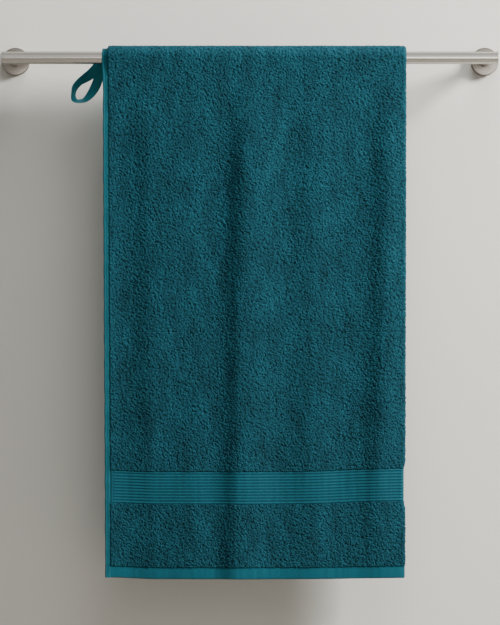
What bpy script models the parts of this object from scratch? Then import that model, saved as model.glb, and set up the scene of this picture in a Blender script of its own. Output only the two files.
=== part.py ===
"""A bath towel, folded in half along its length and hung over a wall-mounted towel rail.

Metres, +Z up, +X to the right seen from the room, +Y into the wall.
The origin is on the wall, midway between the two wall flanges, level with the rail's axis.

Each sub-part is one closed solid. Moving pieces hang under an empty that sits on their joint.
"""

from math import cos, pi, radians, sin, tan

import bmesh
import bpy
from mathutils import Matrix, Vector

# ---------------------------------------------------------------- driving dimensions
GAP = 0.0003                  # left between pieces that touch

# rail
RAIL_SPAN = 0.610             # post axis to post axis
STANDOFF = 0.065              # wall to tube axis
TUBE_DIAMETER = 0.016
TUBE_WALL = 0.0012
TUBE_OVERHANG = 0.011         # tube beyond each post axis
CAP_THICKNESS = 0.0015        # head of the end cap
POST_DIAMETER = 0.014
SPIGOT_DIAMETER = 0.008       # turned down at both ends of a post
SPIGOT_REACH = 0.0025         # how far a spigot goes into what holds it
FLANGE_DIAMETER = 0.036
FLANGE_DEPTH = 0.009
FLANGE_RIM = 0.003            # wall of the cup-shaped flange
FLANGE_FACE = 0.0025
BRACKET_DEPTH = 0.005
BRACKET_EDGE = 0.0019         # metal left outside a screw's seat
WALL_SCREW_DIAMETER = 0.004
WALL_SCREW_LENGTH = 0.025
SCREW_HEAD_DIAMETER = 0.008
SCREW_HEAD_HEIGHT = 0.0024
SCREW_POINT_RADIUS = 0.0005
SCREW_POINT_LENGTH = 0.0005
SCREW_SLOT_WIDTH = 0.0010
SCREW_SLOT_DEPTH = 0.0011
GRUB_DIAMETER = 0.004
GRUB_SOCKET_RADIUS = 0.00115
GRUB_SOCKET_DEPTH = 0.0012

# towel
TOWEL_LEFT = -0.188           # left edge of the outer layer
TOWEL_WIDTH = 0.386           # folded in half
INNER_EDGE_INSET = 0.010      # the inner layer's left edge stays back from the outer one's
TERRY_THICKNESS = 0.003
BORDER_THICKNESS = 0.0022     # ribbed border
HEM_THICKNESS = 0.0024
SIDE_HEM_WIDTH = 0.007
FRONT_DROP = 0.664            # rail axis to bottom edge
BACK_DROP = 0.664
END_HEM_HEIGHT = 0.015
TERRY_END_HEIGHT = 0.080      # terry strip between hem and border
BORDER_HEIGHT = 0.042
FRONT_SWING = radians(35)
BACK_SWING = radians(4)

# hanging loop
LOOP_LENGTH = 0.052           # stitched end to tip
LOOP_BULGE = 0.0088
LOOP_HEADING = radians(236)   # from the stitched end down to the left
LOOP_TAPE_WIDTH = 0.012
LOOP_TAPE_THICKNESS = 0.0012
LOOP_LEAN = radians(38)       # tape width turned this far out of the depth direction
LOOP_BESIDE_HEM = 0.003       # stitched end, left of the towel's edge
LOOP_BEHIND_TUBE = 0.0055     # stitched end, behind the tube's surface
LOOP_BELOW_AXIS = 0.009

# ---------------------------------------------------------------- values that follow
TUBE_RADIUS = TUBE_DIAMETER / 2
TUBE_BORE_RADIUS = TUBE_RADIUS - TUBE_WALL
TUBE_HALF_LENGTH = RAIL_SPAN / 2 + TUBE_OVERHANG
SPIGOT_RADIUS = SPIGOT_DIAMETER / 2
BRACKET_RADIUS = FLANGE_DIAMETER / 2 - FLANGE_RIM - GAP
SEAT_RADIUS = SCREW_HEAD_DIAMETER / 2 + GAP
SCREW_FROM_CENTRE = BRACKET_RADIUS - BRACKET_EDGE - SEAT_RADIUS
RAIL_AXIS = Vector((0, -STANDOFF, 0))

LAYER_INNER = GAP + TERRY_THICKNESS / 2                      # mid-surfaces, out from the tube
LAYER_OUTER = LAYER_INNER + TERRY_THICKNESS + GAP
LAYER_MIDDLE = (LAYER_INNER + LAYER_OUTER) / 2
FOLD_RADIUS = (LAYER_OUTER - LAYER_INNER) / 2
FOLD_CENTRE_X = TOWEL_LEFT + TOWEL_WIDTH - FOLD_RADIUS - TERRY_THICKNESS / 2
FRONT_PIVOT = RAIL_AXIS + Vector((0, -TUBE_RADIUS - LAYER_MIDDLE, 0))
BACK_PIVOT = RAIL_AXIS + Vector((0, TUBE_RADIUS + LAYER_MIDDLE, 0))

ROUND = 48                    # sides of a turned part
SMALL_ROUND = 24
EDGE = 0.0004                 # broken edge on turned metal
FLANGE_EDGE = 0.0012          # rounded front edge of the flange
HEAD_FLAT = 0.72              # flat top of a screw head, as a part of its radius
SLOT_REACH = 1.05             # cross slot, as a part of the head's radius
CUT_BEYOND = 0.001            # how far a cutting shape passes the face it cuts
PLUG_CLEARANCE = 0.001        # end cap's plug to the post's spigot


# ---------------------------------------------------------------- materials
def finish(name, colour, roughness, metallic=0.0):
    material = bpy.data.materials.new(name)
    material.use_nodes = True
    shader = material.node_tree.nodes["Principled BSDF"]
    shader.inputs["Base Color"].default_value = (*colour, 1)
    shader.inputs["Roughness"].default_value = roughness
    shader.inputs["Metallic"].default_value = metallic
    return material


# ---------------------------------------------------------------- helpers
def empty(name, place, parent=None):
    holder = bpy.data.objects.new(name, None)
    holder.empty_display_size = 0.03
    bpy.context.scene.collection.objects.link(holder)
    holder.parent = parent
    above = world_place(parent) if parent else Vector()
    holder.location = Vector(place) - above
    return holder


def world_place(holder):
    place = holder.location.copy()
    while holder.parent:
        holder = holder.parent
        place += holder.location
    return place


def make_object(name, bm, material, holder, smooth=True):
    """Turn a bmesh given in world coordinates into an object under its holder."""
    bmesh.ops.remove_doubles(bm, verts=bm.verts, dist=1e-7)
    bmesh.ops.recalc_face_normals(bm, faces=bm.faces)
    mesh = bpy.data.meshes.new(name)
    bm.to_mesh(mesh)
    bm.free()
    mesh.transform(Matrix.Translation(-world_place(holder)))
    mesh.materials.append(material)
    if smooth:
        mesh.shade_smooth()
        mesh.set_sharp_from_angle(angle=radians(35))
    thing = bpy.data.objects.new(name, mesh)
    bpy.context.scene.collection.objects.link(thing)
    thing.parent = holder
    return thing


def aligned(axis, place):
    """Matrix that takes local +Z to the axis and the local origin to the place."""
    turn = Vector((0, 0, 1)).rotation_difference(Vector(axis)).to_matrix().to_4x4()
    return Matrix.Translation(Vector(place)) @ turn


def turned(outline, sides, matrix, closed=False):
    """Spin an outline of (radius, height) points round local Z. A closed outline makes a ring."""
    bm = bmesh.new()
    points = [bm.verts.new((radius, 0, height)) for radius, height in outline]
    pairs = list(zip(points, points[1:]))
    if closed:
        pairs.append((points[-1], points[0]))
    edges = [bm.edges.new(pair) for pair in pairs]
    bmesh.ops.spin(
        bm, geom=points + edges, cent=(0, 0, 0), axis=(0, 0, 1),
        angle=2 * pi, steps=sides, use_merge=True, use_duplicate=False,
    )
    bmesh.ops.remove_doubles(bm, verts=bm.verts, dist=1e-7)
    bmesh.ops.recalc_face_normals(bm, faces=bm.faces)
    bm.transform(matrix)
    return bm


def rod_outline(radius, bottom, top, edge=0.0):
    """Closed-ended rod from bottom to top, with both rims broken by edge."""
    if not edge:
        return [(0, bottom), (radius, bottom), (radius, top), (0, top)]
    return [
        (0, bottom), (radius - edge, bottom), (radius, bottom + edge),
        (radius, top - edge), (radius - edge, top), (0, top),
    ]


def tool(name, bm, holder):
    """A cutting or adding shape: seen as wire and left out of the model."""
    shape = make_object(name, bm, STEEL, holder, smooth=False)
    shape.hide_render = True
    shape.display_type = "WIRE"
    return shape


def combine(target, shape, operation):
    step = target.modifiers.new(shape.name, "BOOLEAN")
    step.operation = operation
    step.solver = "EXACT"
    step.object = shape


# ---------------------------------------------------------------- rail
def wall_bracket(side, x):
    """Disc screwed to the wall; the flange slides over it."""
    body = turned(
        rod_outline(BRACKET_RADIUS, 0, BRACKET_DEPTH, EDGE), ROUND, aligned((0, -1, 0), (x, 0, 0))
    )
    bracket = make_object(f"wall_bracket_{side}", body, ZINC, WALL_MOUNTS)
    hole = WALL_SCREW_DIAMETER / 2 + GAP
    floor = BRACKET_DEPTH - SCREW_HEAD_HEIGHT - 2 * GAP
    for end, shift in (("a", -1), ("b", 1)):
        screw_x = x + shift * SCREW_FROM_CENTRE
        stepped = [
            (0, -CUT_BEYOND), (hole, -CUT_BEYOND), (hole, floor), (SEAT_RADIUS, floor),
            (SEAT_RADIUS, BRACKET_DEPTH + CUT_BEYOND), (0, BRACKET_DEPTH + CUT_BEYOND),
        ]
        cutter = turned(stepped, SMALL_ROUND, aligned((0, -1, 0), (screw_x, 0, 0)))
        combine(bracket, tool(f"cut_screw_{side}_{end}", cutter, WALL_MOUNTS), "DIFFERENCE")
        wall_screw(f"wall_screw_{side}_{end}", screw_x, floor + GAP)


def wall_screw(name, x, seat):
    """Pan-head wood screw: head in the bracket, shank and point in the wall."""
    head, shank = SCREW_HEAD_DIAMETER / 2, WALL_SCREW_DIAMETER / 2
    tip = seat - WALL_SCREW_LENGTH
    taper = 2 * WALL_SCREW_DIAMETER
    outline = [
        (0, tip), (SCREW_POINT_RADIUS, tip + SCREW_POINT_LENGTH), (shank, tip + taper),
        (shank, seat), (head, seat), (head, seat + SCREW_HEAD_HEIGHT / 2),
        (head * HEAD_FLAT, seat + SCREW_HEAD_HEIGHT), (0, seat + SCREW_HEAD_HEIGHT),
    ]
    screw = make_object(
        name, turned(outline, SMALL_ROUND, aligned((0, -1, 0), (x, 0, 0))), ZINC, WALL_MOUNTS
    )
    top = seat + SCREW_HEAD_HEIGHT
    for number, turn in enumerate((0, pi / 2)):
        bm = bmesh.new()
        bmesh.ops.create_cube(bm, size=1)
        bm.transform(Matrix.Diagonal((head * SLOT_REACH, SCREW_SLOT_DEPTH * 2, SCREW_SLOT_WIDTH, 1)))
        bm.transform(Matrix.Rotation(turn, 4, "Y"))
        bm.transform(Matrix.Translation((x, -top, 0)))
        combine(screw, tool(f"cut_{name}_{number}", bm, WALL_MOUNTS), "DIFFERENCE")


def flange(side, x):
    """Cup that covers the bracket, bored for the post and drilled below for its grub screw."""
    radius, bore = FLANGE_DIAMETER / 2, SPIGOT_RADIUS + GAP
    inside = radius - FLANGE_RIM
    bevel = FLANGE_EDGE * (1 - cos(pi / 4))
    outline = [
        (inside, 0), (radius, 0), (radius, FLANGE_DEPTH - FLANGE_EDGE),
        (radius - bevel, FLANGE_DEPTH - bevel),
        (radius - FLANGE_EDGE, FLANGE_DEPTH), (bore, FLANGE_DEPTH),
        (bore, FLANGE_DEPTH - FLANGE_FACE), (inside, FLANGE_DEPTH - FLANGE_FACE),
    ]
    cup = make_object(
        f"flange_{side}",
        turned(outline, ROUND, aligned((0, -1, 0), (x, 0, 0)), closed=True), STEEL, RAIL,
    )
    drill = turned(
        rod_outline(GRUB_DIAMETER / 2 + GAP, inside - CUT_BEYOND, radius + CUT_BEYOND),
        SMALL_ROUND, aligned((0, 0, -1), (x, -BRACKET_DEPTH / 2, 0)),
    )
    combine(cup, tool(f"cut_grub_{side}", drill, RAIL), "DIFFERENCE")


def grub_screw(side, x, holder):
    """Headless screw through the flange's rim that grips the bracket; hexagon socket below."""
    start = FLANGE_DIAMETER / 2 - FLANGE_RIM
    end = FLANGE_DIAMETER / 2 - GAP
    radius = GRUB_DIAMETER / 2
    place = (x, -BRACKET_DEPTH / 2, 0)
    body = turned(rod_outline(radius, start, end, GAP), SMALL_ROUND, aligned((0, 0, -1), place))
    screw = make_object(f"grub_screw_{side}", body, ZINC, holder)
    socket = turned(
        rod_outline(GRUB_SOCKET_RADIUS, end - GRUB_SOCKET_DEPTH, end + GRUB_SOCKET_DEPTH), 6,
        aligned((0, 0, -1), place),
    )
    combine(screw, tool(f"cut_socket_{side}", socket, holder), "DIFFERENCE")


def post(side, x):
    """Round bar from flange to tube, coped to sit on the tube, with a spigot at each end."""
    front = STANDOFF
    place = aligned((0, -1, 0), (x, 0, 0))
    body = turned(rod_outline(POST_DIAMETER / 2, FLANGE_DEPTH + GAP, front), ROUND, place)
    bar = make_object(f"post_{side}", body, STEEL, RAIL)
    cope = turned(
        rod_outline(TUBE_RADIUS + GAP, -POST_DIAMETER, POST_DIAMETER), ROUND,
        aligned((1, 0, 0), RAIL_AXIS + Vector((x, 0, 0))),
    )
    combine(bar, tool(f"cut_cope_{side}", cope, RAIL), "DIFFERENCE")
    rear_end = FLANGE_DEPTH - SPIGOT_REACH + GAP
    front_end = STANDOFF - TUBE_RADIUS + SPIGOT_REACH
    spigot = turned(rod_outline(SPIGOT_RADIUS, rear_end, front_end), SMALL_ROUND, place)
    combine(bar, tool(f"add_spigot_{side}", spigot, RAIL), "UNION")


def rail_tube():
    outline = [
        (TUBE_BORE_RADIUS, -TUBE_HALF_LENGTH), (TUBE_RADIUS, -TUBE_HALF_LENGTH),
        (TUBE_RADIUS, TUBE_HALF_LENGTH), (TUBE_BORE_RADIUS, TUBE_HALF_LENGTH),
    ]
    tube = make_object(
        "rail_tube", turned(outline, ROUND, aligned((1, 0, 0), RAIL_AXIS), closed=True), STEEL, RAIL
    )
    for side, x in SIDES:
        drill = turned(
            rod_outline(SPIGOT_RADIUS + GAP, STANDOFF - 2 * TUBE_RADIUS, STANDOFF),
            SMALL_ROUND, aligned((0, -1, 0), (x, 0, 0)),
        )
        combine(tube, tool(f"cut_tube_{side}", drill, RAIL), "DIFFERENCE")


def end_cap(side, x):
    """Flat round cap with a plug that fills the tube's end short of the post's spigot."""
    outward = 1 if x > 0 else -1
    plug_radius = TUBE_BORE_RADIUS - GAP
    plug_length = TUBE_OVERHANG - SPIGOT_RADIUS - PLUG_CLEARANCE
    outline = [
        (0, -plug_length), (plug_radius - EDGE, -plug_length), (plug_radius, -plug_length + EDGE),
        (plug_radius, GAP), (TUBE_RADIUS, GAP), (TUBE_RADIUS, GAP + CAP_THICKNESS - EDGE),
        (TUBE_RADIUS - EDGE, GAP + CAP_THICKNESS), (0, GAP + CAP_THICKNESS),
    ]
    place = RAIL_AXIS + Vector((outward * TUBE_HALF_LENGTH, 0, 0))
    cap = turned(outline, ROUND, aligned((outward, 0, 0), place))
    make_object(f"rail_end_cap_{side}", cap, STEEL, RAIL)


# ---------------------------------------------------------------- towel
def lay(station, x, offset):
    """Point on the hanging towel, at x along the rail and offset out from the tube's surface.

    A station is (run, distance, slope): run is front, over or back. Distance is metres below the
    rail's axis, or for over the angle from the front. Slope lowers the outer side of a top edge,
    which leaves room for the drop to swing.
    """
    run, distance, slope = station
    radius = TUBE_RADIUS + offset
    if run == "over":
        return RAIL_AXIS + Vector((x, -radius * cos(distance), radius * sin(distance)))
    drop = distance + slope * max(0.0, offset - LAYER_MIDDLE)
    return RAIL_AXIS + Vector((x, -radius if run == "front" else radius, -drop))


def strip(name, section, stations, material, holder):
    """Sweep a cross-section of (x, offset) points through stations along the towel."""
    bm = bmesh.new()
    rings = [[bm.verts.new(lay(station, x, offset)) for x, offset in section]
             for station in stations]
    for near, far in zip(rings, rings[1:]):
        for i in range(len(section)):
            k = (i + 1) % len(section)
            bm.faces.new((near[i], near[k], far[k], far[i]))
    bm.faces.new(rings[0])
    bm.faces.new(list(reversed(rings[-1])))
    make_object(name, bm, material, holder)


def folded_section(thickness):
    """Both layers and the round fold that joins them at the right, as one outline."""
    half = thickness / 2
    outer_left = TOWEL_LEFT + SIDE_HEM_WIDTH + GAP
    inner_left = outer_left + INNER_EDGE_INSET
    steps = 8

    def fold(radius, start, end):
        turns = [start + (end - start) * i / steps for i in range(steps + 1)]
        return [(FOLD_CENTRE_X + radius * cos(a), LAYER_MIDDLE + radius * sin(a)) for a in turns]

    return (
        [(outer_left, LAYER_OUTER - half), (outer_left, LAYER_OUTER + half)]
        + fold(FOLD_RADIUS + half, pi / 2, -pi / 2)
        + [(inner_left, LAYER_INNER - half), (inner_left, LAYER_INNER + half)]
        + fold(FOLD_RADIUS - half, -pi / 2, pi / 2)
    )


def side_hem_section(layer):
    half = HEM_THICKNESS / 2
    left = TOWEL_LEFT + (INNER_EDGE_INSET if layer == LAYER_INNER else 0)
    right = left + SIDE_HEM_WIDTH
    return [(left, layer - half), (left, layer + half), (right, layer + half), (right, layer - half)]


def drop(run, length, swing, holder):
    """One hanging side of the towel, from the rail's axis down to its hemmed end."""
    slope = tan(swing)
    hem_top = length - END_HEM_HEIGHT
    border_bottom = hem_top - TERRY_END_HEIGHT
    border_top = border_bottom - BORDER_HEIGHT
    terry, border, hem = (folded_section(t) for t in
                          (TERRY_THICKNESS, BORDER_THICKNESS, HEM_THICKNESS))
    half = GAP / 2
    top = (run, half, slope)
    pieces = [
        (f"terry_{run}", terry, top, (run, border_top - half, 0), TERRY),
        (f"border_{run}", border, (run, border_top + half, 0), (run, border_bottom - half, 0), WOVEN),
        (f"terry_end_{run}", terry, (run, border_bottom + half, 0), (run, hem_top - half, 0), TERRY),
        (f"end_hem_{run}", hem, (run, hem_top + half, 0), (run, length, 0), WOVEN),
    ]
    for name, section, start, end, material in pieces:
        strip(name, section, [start, end], material, holder)
    for side, layer in (("outer", LAYER_OUTER), ("inner", LAYER_INNER)):
        stations = [top, (run, length, 0)]
        strip(f"side_hem_{side}_{run}", side_hem_section(layer), stations, WOVEN, holder)


def saddle(holder):
    """The stretch of towel that bends over the top of the tube."""
    steps = 16
    stations = [("over", pi * i / steps, 0) for i in range(steps + 1)]
    strip("terry_saddle", folded_section(TERRY_THICKNESS), stations, TERRY, holder)
    for side, layer in (("outer", LAYER_OUTER), ("inner", LAYER_INNER)):
        strip(f"side_hem_{side}_saddle", side_hem_section(layer), stations, WOVEN, holder)


def hanging_loop(holder):
    """Tape loop sewn to the left edge behind the tube: a teardrop band that leans to the left."""
    root = world_place(holder)
    steps = 32
    along = Vector((cos(LOOP_HEADING), 0, sin(LOOP_HEADING)))
    across = Vector((-along.z, 0, along.x))
    depth = Vector((0, -1, 0))
    lean = (across * sin(LOOP_LEAN) + depth * cos(LOOP_LEAN)) * LOOP_TAPE_WIDTH / 2

    def centre(turn):
        """Teardrop: narrow at the root, round at the tip."""
        reach = LOOP_LENGTH * (1 - cos(turn)) / 2 + LOOP_TAPE_THICKNESS
        swell = LOOP_BULGE * sin(turn) * (0.5 + 0.5 * sin(turn / 2))
        return root + along * reach + across * swell

    bm = bmesh.new()
    rings = []
    for i in range(steps):
        turn = 2 * pi * (i + 0.5) / steps
        before, here, after = (centre(turn + d) for d in (-0.05, 0, 0.05))
        tangent = (after - before).normalized()
        normal = tangent.cross(lean).normalized() * LOOP_TAPE_THICKNESS / 2
        corners = (here - normal - lean, here + normal - lean, here + normal + lean, here - normal + lean)
        rings.append([bm.verts.new(corner) for corner in corners])
    for near, far in zip(rings, rings[1:] + rings[:1]):
        for i in range(4):
            k = (i + 1) % 4
            bm.faces.new((near[i], near[k], far[k], far[i]))
    make_object("hanging_loop", bm, TAPE, holder)


# ---------------------------------------------------------------- build
for old in list(bpy.data.objects):
    bpy.data.objects.remove(old, do_unlink=True)

STEEL = finish("brushed_stainless_steel", (0.55, 0.54, 0.52), 0.28, 1.0)
ZINC = finish("zinc_plated_steel", (0.62, 0.63, 0.65), 0.35, 1.0)
TERRY = finish("teal_terry", (0.007, 0.061, 0.082), 0.95)
WOVEN = finish("teal_flat_weave", (0.008, 0.095, 0.125), 0.85)
TAPE = finish("teal_tape", (0.008, 0.085, 0.115), 0.8)

SIDES = (("left", -RAIL_SPAN / 2), ("right", RAIL_SPAN / 2))
LOOP_ROOT = RAIL_AXIS + Vector(
    (TOWEL_LEFT - LOOP_BESIDE_HEM, TUBE_RADIUS + LOOP_BEHIND_TUBE, -LOOP_BELOW_AXIS)
)

WALL_MOUNTS = empty("wall_mounts", (0, 0, 0))
RAIL = empty("rail", RAIL_AXIS, WALL_MOUNTS)
TOWEL = empty("towel_saddle", RAIL_AXIS, RAIL)

rail_tube()
for rail_side, rail_x in SIDES:
    wall_bracket(rail_side, rail_x)
    flange(rail_side, rail_x)
    post(rail_side, rail_x)
    end_cap(rail_side, rail_x)
    grub_place = (rail_x, -BRACKET_DEPTH / 2, -FLANGE_DIAMETER / 2)
    grub_screw(rail_side, rail_x, empty(f"grub_{rail_side}", grub_place, RAIL))

saddle(TOWEL)
drop("front", FRONT_DROP, FRONT_SWING, empty("front_drop", FRONT_PIVOT, TOWEL))
drop("back", BACK_DROP, BACK_SWING, empty("back_drop", BACK_PIVOT, TOWEL))
hanging_loop(empty("loop_pivot", LOOP_ROOT, TOWEL))
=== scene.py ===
# %% [markdown]
# # A bath towel on a wall rail
# One terry bath towel is folded in half along its length and hung over a round steel rail.
# The design model gives every size and place. This notebook makes the surfaces: the looped
# pile, the ribbed border, the flat hems, the stitches, the tape loop and the brushed steel.
#
# The cloth could be draped by simulation. A thick towel on a rail hardly folds, though, so a
# short rule for where each point of the cloth hangs gives the same shape and stays exact at
# the hems. Everything below leans on that one rule.

# %% Load the design model
import json
from math import cos, pi, radians, sin

import bpy
import numpy as np
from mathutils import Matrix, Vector


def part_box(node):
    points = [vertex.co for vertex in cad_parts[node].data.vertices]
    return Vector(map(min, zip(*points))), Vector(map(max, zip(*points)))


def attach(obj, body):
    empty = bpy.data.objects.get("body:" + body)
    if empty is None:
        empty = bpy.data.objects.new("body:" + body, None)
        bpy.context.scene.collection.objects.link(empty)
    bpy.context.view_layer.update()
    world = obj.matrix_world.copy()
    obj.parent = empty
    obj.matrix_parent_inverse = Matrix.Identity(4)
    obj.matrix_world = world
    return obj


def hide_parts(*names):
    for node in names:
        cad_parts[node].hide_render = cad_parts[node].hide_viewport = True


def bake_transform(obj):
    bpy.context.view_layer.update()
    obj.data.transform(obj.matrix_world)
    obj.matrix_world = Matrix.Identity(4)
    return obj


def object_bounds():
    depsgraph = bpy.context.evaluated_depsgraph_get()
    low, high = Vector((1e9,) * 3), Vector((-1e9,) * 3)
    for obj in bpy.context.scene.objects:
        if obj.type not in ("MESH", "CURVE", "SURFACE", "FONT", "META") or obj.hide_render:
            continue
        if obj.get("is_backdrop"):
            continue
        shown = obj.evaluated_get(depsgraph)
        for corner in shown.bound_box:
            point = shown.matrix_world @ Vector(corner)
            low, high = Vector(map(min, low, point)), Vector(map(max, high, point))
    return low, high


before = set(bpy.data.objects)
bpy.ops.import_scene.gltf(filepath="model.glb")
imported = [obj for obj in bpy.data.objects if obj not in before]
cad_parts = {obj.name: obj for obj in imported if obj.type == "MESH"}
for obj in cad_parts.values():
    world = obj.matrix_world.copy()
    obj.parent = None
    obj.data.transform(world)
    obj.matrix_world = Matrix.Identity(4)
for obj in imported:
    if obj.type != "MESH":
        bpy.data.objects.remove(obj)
design_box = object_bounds()


def corners(node):
    """Lowest and highest corner of a node of the design model."""
    low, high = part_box(node)
    return np.array(low, float), np.array(high, float)


# %% [markdown]
# ## Sizes read from the design model
# Two plies of cloth lie on the tube. Their middles are called MIDDLE_IN and MIDDLE_OUT, both
# measured out from the tube's surface. The fold at the right joins them with a half circle.

# %% Sizes
GAP = 0.0003
tube_low, tube_high = corners("rail_tube")
RAIL_Y = (tube_low[1] + tube_high[1]) / 2
TUBE_RADIUS = (tube_high[2] - tube_low[2]) / 2

terry_low, terry_high = corners("terry_front")
PLY = (terry_high[1] - terry_low[1] - GAP) / 2
MIDDLE_IN = GAP + PLY / 2
MIDDLE_OUT = MIDDLE_IN + PLY + GAP
BEND = (MIDDLE_OUT - MIDDLE_IN) / 2
BEND_X = terry_high[0] - BEND - PLY / 2
QUARTER = pi / 2 * (TUBE_RADIUS + MIDDLE_OUT)

hem_low, hem_high = corners("side_hem_outer_front")
LEFT = hem_low[0]
SIDE_HEM = hem_high[0] - hem_low[0]
HEM_PLY = hem_high[1] - hem_low[1]
INNER_LEFT = corners("side_hem_inner_front")[0][0]
DROP = -hem_low[2]
border_low, border_high = corners("border_front")
BORDER_TOP, BORDER_END = -border_high[2], -border_low[2]
BORDER_PLY = (border_high[1] - border_low[1]) - 2 * BEND
HEM_TOP = -corners("end_hem_front")[1][2]

FLAT_WIDTH = BEND_X - LEFT                    # outer ply, up to where the fold begins
ROUND_FOLD = pi * BEND
FULL_WRAP = FLAT_WIDTH + ROUND_FOLD + BEND_X - INNER_LEFT
print(f"ply {PLY * 1000:.1f} mm, drop {DROP * 1000:.0f} mm, cloth across {FULL_WRAP * 1000:.0f} mm")

# %% [markdown]
# ## The rule for hanging cloth
# A place on the cloth is given by two distances: `across`, from the left edge round the fold
# to the inner ply, and `along`, from the top of the rail. Positive `along` goes down the
# front, negative goes down the back. `wrap` bends the cloth round the fold, and `hang` lays
# it over the rail. Soft upright waves grow below the rail, where nothing holds the cloth flat.

# %% Hanging rule
# Each wave: place at the top and at the bottom, height on the way down and at the bottom,
# width of its left side and of its right side
FRONT_WAVES = [
    (-0.190, -0.190, 0.0034, 0.0032, 0.020, 0.012),
    (-0.128, -0.124, 0.0036, 0.0010, 0.013, 0.036),
    (-0.072, -0.070, 0.0006, 0.0030, 0.018, 0.016),
    (-0.001, -0.018, 0.0076, 0.0062, 0.014, 0.030),
    (0.082, 0.080, 0.0034, 0.0020, 0.018, 0.020),
    (0.180, 0.164, 0.0056, 0.0024, 0.012, 0.016),
]
BACK_WAVES = [
    (-0.110, -0.100, 0.0040, 0.0050, 0.030, 0.020),
    (0.020, 0.032, 0.0050, 0.0060, 0.022, 0.030),
    (0.140, 0.130, 0.0040, 0.0040, 0.024, 0.024),
]
WAVE_REST = 0.0022            # what the waves are set back by, so the cloth hangs below the rail
DROOP = 0.0022                # the bottom edge hangs lower between the side hem and the fold
DRAWN_IN = 0.0034, 0.0014     # how far the left and right edges draw in at the bottom
BORDER_DRAW = 0.0019          # the flat border draws the fold in
BORDER_RISE = 0.0036          # the border climbs a little towards the fold
FOLD_PUFF = 0.0015            # the pile makes the fold swell outwards
TOP_PUFF = 0.0005             # and lifts the outer ply off the inner one on top of the rail
FLARE = 0.0014                # the left edge spreads a little where it lies on the tube
SINK = 0.0021                 # and sinks there, because the inner ply ends further in
RIPPLE = 0.0005               # a small unevenness all over

# Where these come and go, in metres below the rail
WAVES_BEGIN = 0.0, 0.16
ON_RAIL = 0.0, 0.03
FLARE_DROP, FLARE_WIDTH = (0.0, 0.035), 0.03
BORDER_REACH = 0.012          # how far beyond the border its draw is felt
# as parts of the drop
NEAR_BOTTOM = 0.6, 1.0
RISE_GROWS, RISE_FADES = (0.45, 0.80), (0.93, 1.0)
# and as parts of the width, from the left edge to the fold
NEAR_LEFT, NEAR_FOLD = (0.0, 0.18), (0.6, 1.0)
LIFTED_CORNER, AT_FOLD = (0.75, 1.0), (0.85, 1.0)


def ease(x, start, end):
    share = np.clip((x - start) / (end - start), 0, 1)
    return share * share * (3 - 2 * share)


def waves(x, drop, front):
    total = np.zeros_like(x)
    low = drop / DROP
    for facing, group in ((True, FRONT_WAVES), (False, BACK_WAVES)):
        for top, bottom, halfway, end, left, right in group:
            past = x - (top + (bottom - top) * low)
            height = halfway + (end - halfway) * ease(low, *NEAR_BOTTOM)
            bump = height * np.exp(-((past / np.where(past < 0, left, right)) ** 2) / 2)
            total += np.where(front == facing, bump, 0)
    ripple = RIPPLE * np.sin(x * 71 + drop * 5.0) * np.sin(drop * 13.0 + x * 9.0)
    return (total - WAVE_REST + ripple) * ease(drop, *WAVES_BEGIN)


def hang(x, along, offset):
    """World places of cloth points, from x, the distance along and the offset from the tube."""
    x, along, offset = np.broadcast_arrays(x, along, offset)
    front = along >= 0
    side = np.where(front, 1.0, -1.0)
    drop = np.maximum(np.abs(along) - QUARTER, 0)
    low = drop / DROP
    share = (x - LEFT) / (BEND_X - LEFT)
    on_rail = 1 - ease(drop, *ON_RAIL)
    unsupported = 1 - ease(x, LEFT + SIDE_HEM - 0.001, LEFT + SIDE_HEM + 0.0015)
    lift = on_rail * (TOP_PUFF * (1 - unsupported) - SINK * unsupported)
    offset = np.where(offset > (MIDDLE_IN + MIDDLE_OUT) / 2, offset + lift, offset)
    angle = np.clip(np.abs(along) / QUARTER, 0, 1) * pi / 2
    radius = TUBE_RADIUS + offset
    y = RAIL_Y - side * (radius * np.sin(angle) + waves(x, drop, front))
    droop = DROOP * low * ease(share, *NEAR_LEFT) * (1 - 0.35 * ease(share, *LIFTED_CORNER))
    fold = ease(share, *NEAR_FOLD)
    rise = BORDER_RISE * fold * ease(low, *RISE_GROWS) * (1 - 0.85 * ease(low, *RISE_FADES))
    z = radius * np.cos(angle) - drop - droop + rise
    in_border = ease(drop, BORDER_TOP - BORDER_REACH, BORDER_TOP)
    in_border = in_border * (1 - ease(drop, BORDER_END, BORDER_END + BORDER_REACH))
    drawn = DRAWN_IN[0] * (1 - share) - DRAWN_IN[1] * share
    moved = x + drawn * low - BORDER_DRAW * in_border * fold + FOLD_PUFF * ease(share, *AT_FOLD)
    flare = FLARE * (1 - ease(x, LEFT, LEFT + FLARE_WIDTH)) * (1 - ease(drop, *FLARE_DROP))
    moved = moved - flare
    return np.stack([moved, y, z], axis=-1)


def wrap(across):
    """Place and outward direction, in the plane across the cloth, of the middle of the cloth."""
    turn = np.clip((across - FLAT_WIDTH) / BEND, 0, pi)
    past = np.maximum(across - FLAT_WIDTH - ROUND_FOLD, 0)
    x = LEFT + np.minimum(across, FLAT_WIDTH) + BEND * np.sin(turn) - past
    offset = (MIDDLE_OUT + MIDDLE_IN) / 2 + BEND * np.cos(turn)
    return x, offset, np.sin(turn), np.cos(turn)


def cloth(across, along, out):
    """World places at a height out from the middle of the cloth, on its outer face."""
    x, offset, sideways, outwards = wrap(across)
    return hang(x + out * sideways, along, offset + out * outwards)


def outward(across, along, out):
    """Unit vectors that point out of the cloth's outer face."""
    step = 0.0005
    way = cloth(across, along, out + step) - cloth(across, along, out)
    return way / np.linalg.norm(way, axis=-1, keepdims=True)


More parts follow.
